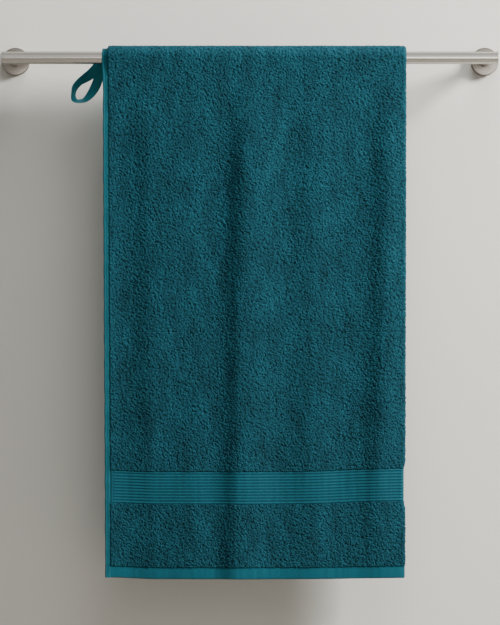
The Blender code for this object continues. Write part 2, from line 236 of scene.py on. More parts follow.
# %% [markdown]
# ## Meshes from grids
# A cloth panel is a closed shell. Its outer face is a fine grid, which the pile tree pushes out
# later. Its hidden face can be coarse. A zip of triangles joins the fine rim to the coarse one.
# The `cloth` map holds metres on the cloth, so patterns follow the cloth and not the room.

# %% Grid helpers
BAKE_MAP = "OFBake"           # layout map for finished textures
CLOTH_MAP = "cloth"           # metres on the cloth
FACE_SHARE = 0.95             # part of the layout map that the outer face takes
BACKING_STEP = 0.009          # grid of a panel's hidden face


def new_object(name, mesh, material):
    mesh.materials.clear()
    mesh.materials.append(material)
    thing = bpy.data.objects.new(name, mesh)
    bpy.context.scene.collection.objects.link(thing)
    return thing


def smooth(mesh, angle=None):
    mesh.shade_smooth()
    if angle is not None:
        mesh.set_sharp_from_angle(angle=radians(angle))


def write_map(mesh, name, values):
    layer = mesh.uv_layers.new(name=name)
    layer.data.foreach_set("uv", np.asarray(values, np.float32).ravel())


def loop_vertices(mesh):
    index = np.empty(len(mesh.loops), np.int32)
    mesh.loops.foreach_get("vertex_index", index)
    return index


def quads(rows, columns, start=0, flip=False):
    corner = start + np.arange(rows - 1)[:, None] * columns + np.arange(columns - 1)[None, :]
    faces = np.stack([corner, corner + columns, corner + columns + 1, corner + 1], axis=-1)
    return (faces[..., ::-1] if flip else faces).reshape(-1, 4)


def zip_rim(fine, coarse, picks, flip):
    """Triangles between a fine rim and the coarse rim that uses its picked places."""
    faces = []
    for m in range(len(picks) - 1):
        first, last = picks[m], picks[m + 1]
        middle = (first + last) // 2
        for k in range(first, last):
            faces.append((fine[k], fine[k + 1], coarse[m] if k < middle else coarse[m + 1]))
        faces.append((coarse[m], fine[middle], coarse[m + 1]))
    return [face[::-1] for face in faces] if flip else faces


def picks_for(count, length, spacing):
    return np.unique(np.linspace(0, count - 1, max(2, round(length / spacing) + 1)).astype(int))


def panel_mesh(name, across_span, along_span, step, thickness, place=cloth, direction=outward):
    """Closed shell of cloth: fine outer face, coarse hidden face, zipped rims."""
    width, length = across_span[1] - across_span[0], along_span[1] - along_span[0]
    columns, rows = (max(2, round(size / step) + 1) for size in (width, length))
    across = np.linspace(*across_span, columns)
    along = np.linspace(*along_span, rows)
    pick_c = picks_for(columns, width, BACKING_STEP)
    pick_r = picks_for(rows, length, BACKING_STEP)
    grid_across, grid_along = np.meshgrid(across, along)
    hid_across, hid_along = grid_across[np.ix_(pick_r, pick_c)], grid_along[np.ix_(pick_r, pick_c)]
    face = place(grid_across, grid_along, thickness / 2).reshape(-1, 3)
    ways = direction(grid_across, grid_along, thickness / 2).reshape(-1, 3)
    hidden = place(hid_across, hid_along, -thickness / 2).reshape(-1, 3)
    fine = np.arange(rows * columns).reshape(rows, columns)
    coarse = rows * columns + np.arange(len(hidden)).reshape(len(pick_r), len(pick_c))
    outer = quads(rows, columns)
    faces = [tuple(f) for f in outer.tolist()]
    faces += [tuple(f) for f in quads(len(pick_r), len(pick_c), rows * columns, flip=True).tolist()]
    for fine_rim, coarse_rim, picks, flip in (
        (fine[:, 0], coarse[:, 0], pick_r, True), (fine[:, -1], coarse[:, -1], pick_r, False),
        (fine[0], coarse[0], pick_c, False), (fine[-1], coarse[-1], pick_c, True),
    ):
        faces += zip_rim(fine_rim.tolist(), coarse_rim.tolist(), picks.tolist(), flip)
    mesh = bpy.data.meshes.new(name)
    mesh.from_pydata(np.concatenate([face, hidden]).tolist(), [], faces)
    places = np.concatenate([
        np.stack([grid_across, grid_along], -1).reshape(-1, 2),
        np.stack([hid_across, hid_along], -1).reshape(-1, 2),
    ])
    index = loop_vertices(mesh)
    write_map(mesh, CLOTH_MAP, places[index])
    share = (places - [across_span[0], along_span[0]]) / [width, length]
    layout = share[index] * [FACE_SHARE - 0.01, 1.0]
    rest = slice(4 * len(outer), None)
    layout[rest, 0] = FACE_SHARE + share[index[rest], 0] * (1 - FACE_SHARE)
    write_map(mesh, BAKE_MAP, layout)
    out = mesh.attributes.new("out", "FLOAT_VECTOR", "POINT")
    out.data.foreach_set("vector", np.concatenate([ways, 0 * hidden]).astype(np.float32).ravel())
    mesh.uv_layers.active = mesh.uv_layers[CLOTH_MAP]
    mesh.shade_smooth()
    rims = np.arange(len(faces)) >= len(outer) + (len(pick_r) - 1) * (len(pick_c) - 1)
    mesh.attributes.new("sharp_face", "BOOLEAN", "FACE").data.foreach_set("value", rims)
    return mesh


def swept_mesh(name, rings, cloth_places=None):
    """Closed tube through rings of points (path, ring, xyz), with flat ends."""
    count, size = rings.shape[:2]
    corner = np.arange(count - 1)[:, None] * size
    k = np.arange(size)[None, :]
    after = corner + size
    faces = np.stack([corner + k, corner + (k + 1) % size, after + (k + 1) % size, after + k], -1)
    faces = [tuple(f) for f in faces.reshape(-1, 4).tolist()]
    faces.append(tuple(range(size))[::-1])
    faces.append(tuple(range((count - 1) * size, count * size)))
    mesh = bpy.data.meshes.new(name)
    mesh.from_pydata(rings.reshape(-1, 3).tolist(), [], faces)
    if cloth_places is not None:
        places = cloth_places.reshape(-1, 2)
        index = loop_vertices(mesh)
        write_map(mesh, CLOTH_MAP, places[index])
        ring_share = np.tile(np.arange(size), count) / size
        path_share = np.repeat(np.arange(count) / (count - 1), size)
        layout = np.stack([ring_share, path_share], -1)[index]
        body = 4 * (count - 1) * size
        wrapped = layout[:body].reshape(-1, 4, 2)
        last = (wrapped[:, :, 0].max(1) - wrapped[:, :, 0].min(1)) > 0.5
        wrapped[last, :, 0] = np.where(wrapped[last, :, 0] < 0.5, 1.0, wrapped[last, :, 0])
        layout[:body] = wrapped.reshape(-1, 2)
        layout[body:] = layout[body:] * [0.01, 0.01]
        write_map(mesh, BAKE_MAP, layout)
    return mesh


def swept_piece(name, rings, material, angle, places=None):
    mesh = swept_mesh(name, rings, places)
    smooth(mesh, angle)
    return new_object(name, mesh, material)


# %% [markdown]
# ## Patterns
# Terry is covered in small loops of yarn, which lean in groups, each group its own way. One
# Voronoi texture gives the groups. A second one, turned and stretched afresh in every group,
# gives the loops. The same nodes serve twice: in the geometry tree they push the surface out,
# and in the material they darken the gaps between the loops, which is painted shade.

# %% Pattern nodes
TUFT = 0.0075                 # size of a group of loops
LOOP_SIZE = 0.0017, 0.0030    # one loop across and along
WANDER = 0.0030               # how far the edges of the groups stray
LOOP_FALL = -1.9              # how steeply a loop falls away from its middle


def add(tree, kind, **settings):
    node = tree.nodes.new(kind)
    for name, value in settings.items():
        setattr(node, name, value)
    return node


def feed(tree, node, **values):
    """Give a node's inputs, by name or number, a value or a link."""
    for key, value in values.items():
        numbered = key[0] == "i" and key[1:].isdigit()
        socket = node.inputs[int(key[1:]) if numbered else key.replace("_", " ")]
        if isinstance(value, bpy.types.NodeSocket):
            tree.links.new(value, socket)
        else:
            socket.default_value = value
    return node


def maths(tree, operation, first, second=None, third=None, clamp=False):
    node = add(tree, "ShaderNodeMath", operation=operation, use_clamp=clamp)
    for number, value in enumerate((first, second, third)):
        if value is not None:
            feed(tree, node, **{f"i{number}": value})
    return node.outputs[0]


def product(tree, first, second):
    return maths(tree, "MULTIPLY", first, second)


def scaled(tree, value, by, plus, clamp=False):
    """value * by + plus"""
    return maths(tree, "MULTIPLY_ADD", value, by, plus, clamp)


def vectors(tree, operation, first, second=None, scale=None):
    node = add(tree, "ShaderNodeVectorMath", operation=operation)
    feed(tree, node, i0=first)
    if second is not None:
        feed(tree, node, i1=second)
    if scale is not None:
        feed(tree, node, Scale=scale)
    return node.outputs["Value" if operation == "LENGTH" else "Vector"]


def split(tree, vector):
    """The X, Y and Z of a vector."""
    node = add(tree, "ShaderNodeSeparateXYZ")
    return feed(tree, node, i0=vector).outputs


def stretched(tree, place, factors):
    node = add(tree, "ShaderNodeMapping")
    feed(tree, node, Vector=place, Scale=factors)
    return node.outputs["Vector"]


def noise(tree, place, scale, detail=1.0, dimensions="2D", output=0):
    node = add(tree, "ShaderNodeTexNoise", noise_dimensions=dimensions)
    feed(tree, node, Vector=place, Scale=scale, Detail=detail)
    return node.outputs[output]


def loop_pattern(tree, place):
    """Height, 0 to 1, of the looped pile at a place on the cloth in metres."""
    stray = noise(tree, place, 240.0, output="Color")
    wander = vectors(tree, "SUBTRACT", stray, (0.5, 0.5, 0.5))
    moved = vectors(tree, "ADD", place, vectors(tree, "SCALE", wander, scale=WANDER))
    group = add(tree, "ShaderNodeTexVoronoi", voronoi_dimensions="2D", feature="F1")
    feed(tree, group, Vector=moved, Scale=1 / TUFT, Randomness=1.0)
    chance = split(tree, group.outputs["Color"])["X"]
    turned = add(tree, "ShaderNodeVectorRotate", rotation_type="Z_AXIS")
    feed(tree, turned, Vector=moved, Angle=product(tree, chance, 2 * pi))
    per_loop = (1 / LOOP_SIZE[0], 1 / LOOP_SIZE[1], 1.0)
    loops = add(tree, "ShaderNodeTexVoronoi", voronoi_dimensions="2D", feature="F1")
    feed(tree, loops, Vector=vectors(tree, "MULTIPLY", turned.outputs["Vector"], per_loop),
         Scale=1.0, Randomness=0.85)
    reach = loops.outputs["Distance"]
    dome = scaled(tree, product(tree, reach, reach), LOOP_FALL, 1.0, clamp=True)
    level = scaled(tree, split(tree, loops.outputs["Color"])["X"], 0.40, 0.60)
    rough = noise(tree, place, 520.0, 2.0)
    tall = scaled(tree, product(tree, dome, level), 0.95, -0.10)
    return scaled(tree, rough, 0.35, tall, clamp=True)


def flat_band(tree, across):
    """1 on the flat band beside the border's ribs, 0 elsewhere."""
    return maths(tree, "COMPARE", across, SIDE_HEM + BAND_MIDDLE, BAND_HALF)


def rib_wave(tree, turns, sharpness):
    """Height, 0 to 1, of the border's ribs; turns counts 2 pi for each rib."""
    wave = scaled(tree, maths(tree, "COSINE", turns), -0.5, 0.5)
    return maths(tree, "POWER", wave, sharpness)


def below_rail(tree, along):
    return maths(tree, "SUBTRACT", maths(tree, "ABSOLUTE", along), QUARTER)


# %% [markdown]
# ## Materials
# Cotton takes light softly: high roughness, a little sheen, and no single flat colour. Each
# finish mixes a deep and a bright tone of the same teal by the relief that shapes it, which is
# painted shade in the hollows and painted highlight on the crests.

# %% Cloth finishes
def principled(name):
    material = bpy.data.materials.new(name)
    material.use_nodes = True
    tree = material.node_tree
    return material, tree, tree.nodes["Principled BSDF"]


def mixed_tone(tree, factor, dark, light):
    node = add(tree, "ShaderNodeMix", data_type="RGBA", blend_type="MIX")
    return feed(tree, node, i0=factor, i6=(*dark, 1), i7=(*light, 1)).outputs[2]


def streaked(tree, shader, tone, place, factors, reach, least):
    """Give a shader its tone, made lighter and darker in soft streaks."""
    streaks = noise(tree, stretched(tree, place, factors), 1.0, 3.0)
    level = scaled(tree, streaks, reach, least)
    feed(tree, shader, Base_Color=vectors(tree, "SCALE", tone, scale=level))


def cloth_place(tree):
    return add(tree, "ShaderNodeUVMap", uv_map=CLOTH_MAP).outputs["UV"]


def bumped(tree, shader, height, distance, strength):
    node = add(tree, "ShaderNodeBump")
    feed(tree, node, Height=height, Distance=distance, Strength=strength)
    feed(tree, shader, Normal=node.outputs["Normal"])


def soft_cotton(tree, shader, roughness, sheen):
    feed(tree, shader, Roughness=roughness, Specular_IOR_Level=0.10, Sheen_Weight=sheen,
         Sheen_Roughness=0.45, Sheen_Tint=(0.12, 0.75, 0.90, 1))


def terry_finish():
    material, tree, shader = principled("teal_terry")
    place = cloth_place(tree)
    height = loop_pattern(tree, place)
    # painted shade: dark in the gaps between the loops, light on their tops
    tone = mixed_tone(tree, height, (0.0020, 0.0175, 0.0255), (0.0108, 0.0660, 0.0905))
    streaked(tree, shader, tone, place, (62.0, 20.0, 1.0), 0.9, 0.55)
    yarn = noise(tree, place, 1900.0, 2.0)
    bumped(tree, shader, scaled(tree, yarn, 0.5, height), 0.0008, 0.45)
    soft_cotton(tree, shader, 0.95, 0.05)
    return material


def weave_height(tree, place, threads):
    """Over-and-under threads of a plain weave."""
    parts = split(tree, vectors(tree, "SCALE", place, scale=2 * pi / threads))
    warp = maths(tree, "SINE", parts["X"])
    weft = maths(tree, "SINE", parts["Y"])
    return scaled(tree, product(tree, warp, weft), 0.5, 0.5)


def weave_finish(name, dark, light, streaks):
    """Flat weave; streaks is the stretch of its soft tone bands across and along the cloth."""
    material, tree, shader = principled(name)
    place = cloth_place(tree)
    weave = weave_height(tree, place, HEM_THREADS)
    bands = noise(tree, stretched(tree, place, streaks), 1.0, 3.0)
    spread = scaled(tree, maths(tree, "SUBTRACT", bands, 0.5), 2.2, 0.5, clamp=True)
    spread = product(tree, spread, 0.75)
    # the weave's hollows are darker and its crests lighter, which is painted shade; the soft bands
    # are tone that differs at random
    factor = scaled(tree, weave, 0.25, spread, clamp=True)
    feed(tree, shader, Base_Color=mixed_tone(tree, factor, dark, light))
    bumped(tree, shader, weave, 0.00012, 0.5)
    soft_cotton(tree, shader, 0.85, 0.06)
    return material


def border_finish():
    material, tree, shader = principled("teal_ribbed_border")
    place = cloth_place(tree)
    parts = split(tree, place)
    below_top = maths(tree, "SUBTRACT", below_rail(tree, parts["Y"]), BORDER_TOP)
    turns = product(tree, below_top, 2 * pi / RIB_PITCH)
    begun = maths(tree, "GREATER_THAN", parts["X"], RIB_START)
    ribs = product(tree, rib_wave(tree, turns, 0.75), begun)
    ribs = product(tree, ribs, 0.95)
    height = scaled(tree, flat_band(tree, parts["X"]), 1.5, ribs)
    # painted shade in the grooves between the ribs, painted highlight on their crests and on the
    # raised flat band
    tone = mixed_tone(tree, height, (0.0046, 0.0500, 0.0690), (0.0102, 0.0730, 0.1010))
    streaked(tree, shader, tone, place, (160.0, 12.0, 1.0), 0.5, 0.75)
    bumped(tree, shader, weave_height(tree, place, BORDER_THREADS), 0.0001, 0.5)
    soft_cotton(tree, shader, 0.85, 0.06)
    return material


def tape_finish():
    material, tree, shader = principled("teal_tape")
    place = cloth_place(tree)
    parts = split(tree, place)
    slant = maths(tree, "ADD", parts["X"], parts["Y"])
    slant = maths(tree, "SINE", product(tree, slant, 2 * pi / TWILL_PITCH))
    twill = scaled(tree, slant, 0.5, 0.5)
    grain = product(tree, noise(tree, place, 900.0, 2.0), 0.4)
    # darker in the twill's grooves, which is painted shade; the grain is tone that differs at
    # random
    factor = scaled(tree, twill, 0.6, grain, clamp=True)
    # both tones are far brighter than the towel's teal: painted light that makes up for the shade
    # the towel casts on the loop
    tone = mixed_tone(tree, factor, (0.0085, 0.095, 0.120), (0.0240, 0.210, 0.255))
    feed(tree, shader, Base_Color=tone)
    bumped(tree, shader, twill, 0.0002, 0.6)
    soft_cotton(tree, shader, 0.8, 0.06)
    return material


HEM_THREADS, BORDER_THREADS, TWILL_PITCH = 0.0009, 0.0008, 0.0014
RIB_COUNT = 11
RIB_PITCH = (BORDER_END - BORDER_TOP) / RIB_COUNT
RIB_START = SIDE_HEM + 0.0044  # a flat band is left between the side hem and the ribs
BAND_MIDDLE, BAND_HALF = 0.0021, 0.0016

TERRY = terry_finish()
HEM = weave_finish(
    "teal_hem", (0.0062, 0.065, 0.090), (0.0104, 0.086, 0.118), (240.0, 14.0, 1.0))
SIDE = weave_finish(
    "teal_side_hem", (0.0070, 0.063, 0.083), (0.0125, 0.100, 0.128), (60.0, 60.0, 1.0))
BORDER = border_finish()
TAPE_PAINTED_LIGHT = tape_finish()
THREAD = weave_finish(
    "teal_thread", (0.0030, 0.055, 0.072), (0.0080, 0.110, 0.140), (700.0, 700.0, 1.0))

# %% [markdown]
# ## Brushed steel and plating
# A brushed surface has fine scratches that all run one way. Noise that is stretched along that
# way changes the roughness a little and tilts the surface a little. On a turned flange the
# scratches run in rings, so there the noise reads only the distance from the flange's axis.

# %% Metal finishes
def from_flange_axis(tree, where):
    """Distance from the axis of the nearer flange, as X, with nothing along Y and Z."""
    low, high = corners("flange_right")
    parts = split(tree, where)
    beside = maths(tree, "SUBTRACT", maths(tree, "ABSOLUTE", parts["X"]), (low[0] + high[0]) / 2)
    both = add(tree, "ShaderNodeCombineXYZ")
    feed(tree, both, X=beside, Y=parts["Z"])
    line = add(tree, "ShaderNodeCombineXYZ")
    feed(tree, line, X=vectors(tree, "LENGTH", both.outputs["Vector"]))
    return line.outputs["Vector"]


EDGE_TINT = 0.42, 0.40, 0.37, 1  # steel loses brightness where it turns away


def metal_finish(name, colour, roughness, grain, rings=False):
    """grain is the noise scale along X, Y and Z; a small number is the brushing's direction."""
    material, tree, shader = principled(name)
    where = add(tree, "ShaderNodeTexCoord").outputs["Object"]
    if rings:
        where = from_flange_axis(tree, where)
    lines = noise(tree, stretched(tree, where, grain), 1.0, 3.0, "3D")
    dark, light = (tuple(min(1, c * share) for c in colour) for share in (0.82, 1.1))
    uneven = scaled(tree, lines, 0.22, roughness - 0.11)
    feed(tree, shader, Base_Color=mixed_tone(tree, lines, dark, light), Roughness=uneven,
         Metallic=1.0, Specular_Tint=EDGE_TINT)
    bumped(tree, shader, lines, SCRATCH_DEPTH, 0.5)
    return material


SCRATCH_DEPTH = 0.00002
STEEL_COLOUR = (0.56, 0.54, 0.51)
TUBE_STEEL = metal_finish("brushed_tube", STEEL_COLOUR, 0.19, (6.0, 2600.0, 2600.0))
POST_STEEL = metal_finish("brushed_post", STEEL_COLOUR, 0.30, (2200.0, 8.0, 2200.0))
# the flange is the tube's stainless steel made far darker: painted shade for the darker room its
# face reflects
FLANGE_STEEL_PAINTED_SHADE = metal_finish(
    "turned_flange_painted_shade", (0.25, 0.231, 0.210), 0.27, (1500.0, 1.0, 1.0), rings=True)
ZINC = metal_finish("zinc_plating", (0.62, 0.64, 0.67), 0.34, (300.0, 300.0, 300.0))

# %% [markdown]
# ## Geometry trees
# A geometry tree is a recipe with named inputs. `finish_with` runs one on an object, keeps the
# plain mesh that comes out and takes the recipe off again, so nothing live is left on the piece.

# %% Tree helpers
def geometry_tree(name, inputs):
    tree = bpy.data.node_groups.new(name, "GeometryNodeTree")
    tree.interface.new_socket("Geometry", in_out="INPUT", socket_type="NodeSocketGeometry")
    for label, kind, value in inputs:
        socket = tree.interface.new_socket(label, in_out="INPUT", socket_type=f"NodeSocket{kind}")
        if value is not None:
            socket.default_value = value
    tree.interface.new_socket("Geometry", in_out="OUTPUT", socket_type="NodeSocketGeometry")
    return tree, add(tree, "NodeGroupInput"), add(tree, "NodeGroupOutput")


def close_tree(tree, geometry, source, result):
    """Every tree ends the same way: real geometry with one finish."""
    real = add(tree, "GeometryNodeRealizeInstances")
    dressed = add(tree, "GeometryNodeSetMaterial")
    feed(tree, real, Geometry=geometry)
    feed(tree, dressed, Geometry=real.outputs["Geometry"], Material=source.outputs["Finish"])
    feed(tree, result, Geometry=dressed.outputs["Geometry"])


def finish_with(thing, tree, **values):
    recipe = thing.modifiers.new(tree.name, "NODES")
    recipe.node_group = tree
    sockets = {s.name: s.identifier for s in tree.interface.items_tree if s.in_out == "INPUT"}
    for name, value in values.items():
        recipe[sockets[name.replace("_", " ")]] = value
    bpy.context.view_layer.update()
    evaluated = thing.evaluated_get(bpy.context.evaluated_depsgraph_get())
    mesh = bpy.data.meshes.new_from_object(evaluated)
    old = thing.data
    thing.modifiers.remove(recipe)
    mesh.name = thing.name
    thing.data = mesh
    bpy.data.meshes.remove(old)
    return thing


def named(tree, name):
    node = add(tree, "GeometryNodeInputNamedAttribute", data_type="FLOAT_VECTOR")
    return feed(tree, node, Name=name).outputs["Attribute"]


def push_out(tree, source, result, height):
    """End a tree that moves its surface out by a height."""
    offset = vectors(tree, "SCALE", named(tree, "out"), scale=height)
    moved = add(tree, "GeometryNodeSetPosition")
    feed(tree, moved, Geometry=source.outputs["Geometry"], Offset=offset)
    close_tree(tree, moved.outputs["Geometry"], source, result)
    return tree


def pile_tree():
    """Push a cloth face out by the loop pattern."""
    tree, source, result = geometry_tree("looped_pile", [
        ("Pile Height", "Float", PILE_HEIGHT), ("Finish", "Material", None),
    ])
    height = loop_pattern(tree, named(tree, CLOTH_MAP))
    push = product(tree, height, source.outputs["Pile Height"])
    return push_out(tree, source, result, push)


def rib_tree():
    """Raise even ribs across a woven border."""
    tree, source, result = geometry_tree("border_ribs", [
        ("Rib Height", "Float", RIB_HEIGHT), ("Rib Pitch", "Float", RIB_PITCH),
        ("First Rib", "Float", BORDER_TOP), ("Rib Start", "Float", RIB_START),
        ("Finish", "Material", None),
    ])
    parts = split(tree, named(tree, CLOTH_MAP))
    below_top = maths(tree, "SUBTRACT", below_rail(tree, parts["Y"]), source.outputs["First Rib"])
    turns = maths(tree, "DIVIDE", below_top, source.outputs["Rib Pitch"])
    wave = rib_wave(tree, product(tree, turns, 2 * pi), 0.7)
    begun = maths(tree, "GREATER_THAN", parts["X"], source.outputs["Rib Start"])
    band = product(tree, flat_band(tree, parts["X"]), 0.6)
    ribs = scaled(tree, wave, begun, band)
    height = product(tree, ribs, source.outputs["Rib Height"])
    return push_out(tree, source, result, height)


PILE_HEIGHT, RIB_HEIGHT = 0.0013, 0.00055
PILE = pile_tree()
RIBS = rib_tree()

# %% [markdown]
# ## Bodies and seams
# A piece below the rail follows the front or the back drop. A piece that crosses the rail keeps
# its place in its own mesh and follows no body.


def ride_drop(piece, run, crosses):
    """Let a piece below the rail follow the front or back drop; one that crosses the rail only gets
    its place fixed in its mesh.
    """
    if not crosses:
        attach(piece, f"{run}_drop")
        return
    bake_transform(piece)


def either_side(run, low, high):
    """Two distances from the top of the rail, as distances along the cloth, lowest first."""
    return (low, high) if run == "front" else (-high, -low)


def span(run, near, far):
    """The same for two drops below the rail's axis."""
    return either_side(run, QUARTER + near, QUARTER + far)


def settle(piece, body, slot, *nodes):
    """Say which nodes a piece stands for and the body it moves with; the slot, its finish, is not
    used.
    """
    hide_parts(*nodes)
    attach(piece, body)


# %% [markdown]
# ## Terry panels
# The outer ply of each side is made in three panels, which meet exactly, and a short panel
# below the border. The step of the grid is about half a loop's width, which is just enough to
# shape it. The inner ply hardly shows, so its step is coarser.

# %% Terry
FINE, COARSE = 0.00095, 0.0035
BASE = PLY - 0.0008           # cloth under the pile
EDGE_GAP = 0.0004             # between a panel and its neighbour
WRAP_END = FLAT_WIDTH + ROUND_FOLD + 0.004


def terry_panel(name, run, along, across, step, crosses, nodes):
    mesh = panel_mesh(name, across, along, step, BASE)
    panel = new_object(name, mesh, TERRY)
    finish_with(panel, PILE, Pile_Height=PILE_HEIGHT, Finish=TERRY)
    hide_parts(*nodes)
    ride_drop(panel, run, crosses)
    return panel


terry_across = (SIDE_HEM + EDGE_GAP, WRAP_END)
inner_across = (WRAP_END + EDGE_GAP, FULL_WRAP - SIDE_HEM - EDGE_GAP)
SPLITS = 0.170, 0.350
triangles = 0
for run in ("front", "back"):
    face, below = f"terry_{run}", f"terry_end_{run}"
    end = span(run, BORDER_END, HEM_TOP)
    for name, along, across, step, crosses, nodes in (
        ("terry_upper", either_side(run, 0.0, QUARTER + SPLITS[0]), terry_across, FINE, True,
         ["terry_saddle", face]),
        ("terry_middle", span(run, *SPLITS), terry_across, FINE, False, [face]),
        ("terry_lower", span(run, SPLITS[1], BORDER_TOP), terry_across, FINE, False, [face]),
        ("terry_end", end, terry_across, FINE, False, [below]),
        ("inner_terry_end", end, inner_across, COARSE, False, [below]),
        ("inner_terry", either_side(run, 0.0, QUARTER + BORDER_TOP), inner_across, COARSE, True,
         [face]),
    ):
        panel = terry_panel(f"{run}_{name}", run, along, across, step, crosses, nodes)
        triangles += sum(len(p.vertices) - 2 for p in panel.data.polygons)
print(f"terry: {triangles} triangles")

# %% [markdown]
# ## Ribbed border
# The border is woven flat and thin, with eleven fine ribs. It wraps round the fold in one piece.
# Only the direction along the towel needs a fine grid, because a rib is straight.

# %% Border
BORDER_STEP = 0.0016          # across the towel
STEPS_PER_RIB = 8


def strip_panel(name, across, along, across_step, along_step, thickness):
    """Like a cloth panel, with its own step each way."""
    stretch = along_step / across_step

    def place(a, b, out):
        return cloth(a / stretch, b, out)

    def direction(a, b, out):
        return outward(a / stretch, b, out)

    wide = across[0] * stretch, across[1] * stretch
    mesh = panel_mesh(name, wide, along, along_step, thickness, place, direction)
    places = np.empty(len(mesh.loops) * 2, np.float32)
    mesh.uv_layers[CLOTH_MAP].data.foreach_get("uv", places)
    places = places.reshape(-1, 2)
    places[:, 0] /= stretch
    mesh.uv_layers[CLOTH_MAP].data.foreach_set("uv", places.ravel())
    return mesh


wrap_across = (SIDE_HEM + EDGE_GAP, FULL_WRAP - SIDE_HEM - EDGE_GAP)
for run in ("front", "back"):
    along = span(run, BORDER_TOP, BORDER_END)
    mesh = strip_panel(
        f"{run}_border", wrap_across, along, BORDER_STEP, RIB_PITCH / STEPS_PER_RIB, BORDER_PLY)
    border = new_object(f"{run}_border", mesh, BORDER)
    finish_with(border, RIBS, Rib_Height=RIB_HEIGHT, Rib_Pitch=RIB_PITCH, Finish=BORDER)
    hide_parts(f"border_{run}")
    ride_drop(border, run, False)
print(f"{RIB_COUNT} ribs, {RIB_PITCH * 1000:.2f} mm apart")

# %% [markdown]
# ## Hems
# A hem is the cloth's flat edge turned over and sewn down. It is a rounded strip with a shallow
# groove where the stitches pull it in. Each is one profile swept along the cloth.

# %% Hems
def rounded_profile(width, thickness, sides=5):
    """Points round a flat strip with round edges, as (across, out) from its first edge."""
    radius = thickness / 2
    points = []
    for middle, start in ((width - radius, 90), (radius, 270)):
        for k in range(sides + 1):
            a = radians(start - 180 * k / sides)
            points.append((middle + radius * cos(a), radius * sin(a)))
    flat = [(width - 2 * radius) * k / 9 for k in range(1, 9)]
    top = [(radius + step, radius) for step in flat]
    bottom = [(width - radius - step, -radius) for step in flat]
    first, second = points[: sides + 1], points[sides + 1:]
    return np.array(top + first + bottom + second)


def grooved(profile, groove, depth, width=0.0008):
    """Press a stitch groove into both faces of a profile."""
    dent = depth * np.exp(-(((profile[:, 0] - groove) / width) ** 2))
    return np.stack([profile[:, 0], profile[:, 1] - np.sign(profile[:, 1]) * dent], -1)


SEAM_LINE = SIDE_HEM / 2      # where the side hems are sewn down
HEM_TUCK = 0.0010             # each hem reaches a little way under the pile
END_SEAM = 0.0022             # from the end hem's top edge to its stitches
SIDE_HEM_STEP, END_HEM_STEP = 0.003, 0.0022


def side_hem(name, left, middle, along):
    flat = rounded_profile(SIDE_HEM + HEM_TUCK, HEM_PLY - 0.0002)
    profile = grooved(flat, SEAM_LINE, 0.0003)
    count = round((along[1] - along[0]) / SIDE_HEM_STEP) + 1
    path = np.linspace(*along, count)[:, None]
    wander = 0.00015 * np.sin(path * 210) + 0.0001 * np.sin(path * 97 + 1)
    puff = 1 + 0.05 * np.sin(path * 2 * pi / 0.0065)
    rings = hang(left + profile[None, :, 0] + wander, path, middle + profile[None, :, 1] * puff)
    places = np.broadcast_arrays(profile[None, :, 0], path)
    return swept_piece(name, rings[:, ::-1], SIDE, 50, np.stack(places, -1)[:, ::-1])


def end_hem(name, run):
    """The bottom hem, swept across the towel, round the fold and back along the inner ply."""
    height = DROP - HEM_TOP + HEM_TUCK
    profile = grooved(rounded_profile(height, HEM_PLY), HEM_TUCK + END_SEAM, 0.00012)
    profile = profile - [HEM_TUCK, 0]
    count = round((wrap_across[1] - wrap_across[0]) / END_HEM_STEP) + 1
    across = np.linspace(*wrap_across, count)
    side = 1 if run == "front" else -1
    along = side * (QUARTER + HEM_TOP + profile[None, :, 0])
    ripple = 1 + 0.06 * np.sin(across * 2 * pi / 0.011)[:, None]
    rings = cloth(across[:, None], along, profile[None, :, 1] * ripple)
    places = np.stack(np.broadcast_arrays(across[:, None], along), -1)
    if side < 0:
        rings, places = rings[:, ::-1], places[:, ::-1]
    return swept_piece(name, rings, HEM, 50, places)


for run in ("front", "back"):
    whole = either_side(run, 0.0, QUARTER + DROP)
    for label, left, middle in (("outer", LEFT, MIDDLE_OUT), ("inner", INNER_LEFT, MIDDLE_IN)):
        hem = side_hem(f"{run}_side_hem_{label}", left, middle, whole)
        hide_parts(f"side_hem_{label}_{run}", f"side_hem_{label}_saddle")
        ride_drop(hem, run, True)
    hem = end_hem(f"{run}_end_hem", run)
    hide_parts(f"end_hem_{run}")
    ride_drop(hem, run, False)

# %% [markdown]
# ## Stitches
# A lockstitch shows as short threads in a row. The tree sets one small thread on each point of
# a line that runs in the hem's groove, turned along the line.

# %% Stitch rows
STITCH = 0.0031               # from one stitch to the next
THREAD_RADIUS = 0.00024


def stitch_tree():
    tree, source, result = geometry_tree("stitch_row", [
        ("Stitch Spacing", "Float", STITCH), ("Thread Radius", "Float", THREAD_RADIUS),
        ("Finish", "Material", None),
    ])
    spacing, radius = source.outputs["Stitch Spacing"], source.outputs["Thread Radius"]
    line = feed(tree, add(tree, "GeometryNodeMeshToCurve"), Mesh=source.outputs["Geometry"])
    points = add(tree, "GeometryNodeCurveToPoints", mode="LENGTH")
    feed(tree, points, Curve=line.outputs["Curve"], Length=spacing)
    thread = feed(tree, add(tree, "GeometryNodeMeshIcoSphere"), Subdivisions=2, Radius=radius)
    longer = product(tree, maths(tree, "DIVIDE", spacing, radius), 0.40)
    size = add(tree, "ShaderNodeCombineXYZ")
    feed(tree, size, X=1.0, Y=1.0, Z=longer)
    rows = add(tree, "GeometryNodeInstanceOnPoints")
    feed(tree, rows, Points=points.outputs["Points"], Instance=thread.outputs["Mesh"],
         Rotation=points.outputs["Rotation"], Scale=size.outputs["Vector"])
    close_tree(tree, rows.outputs["Instances"], source, result)
    return tree


STITCHES = stitch_tree()


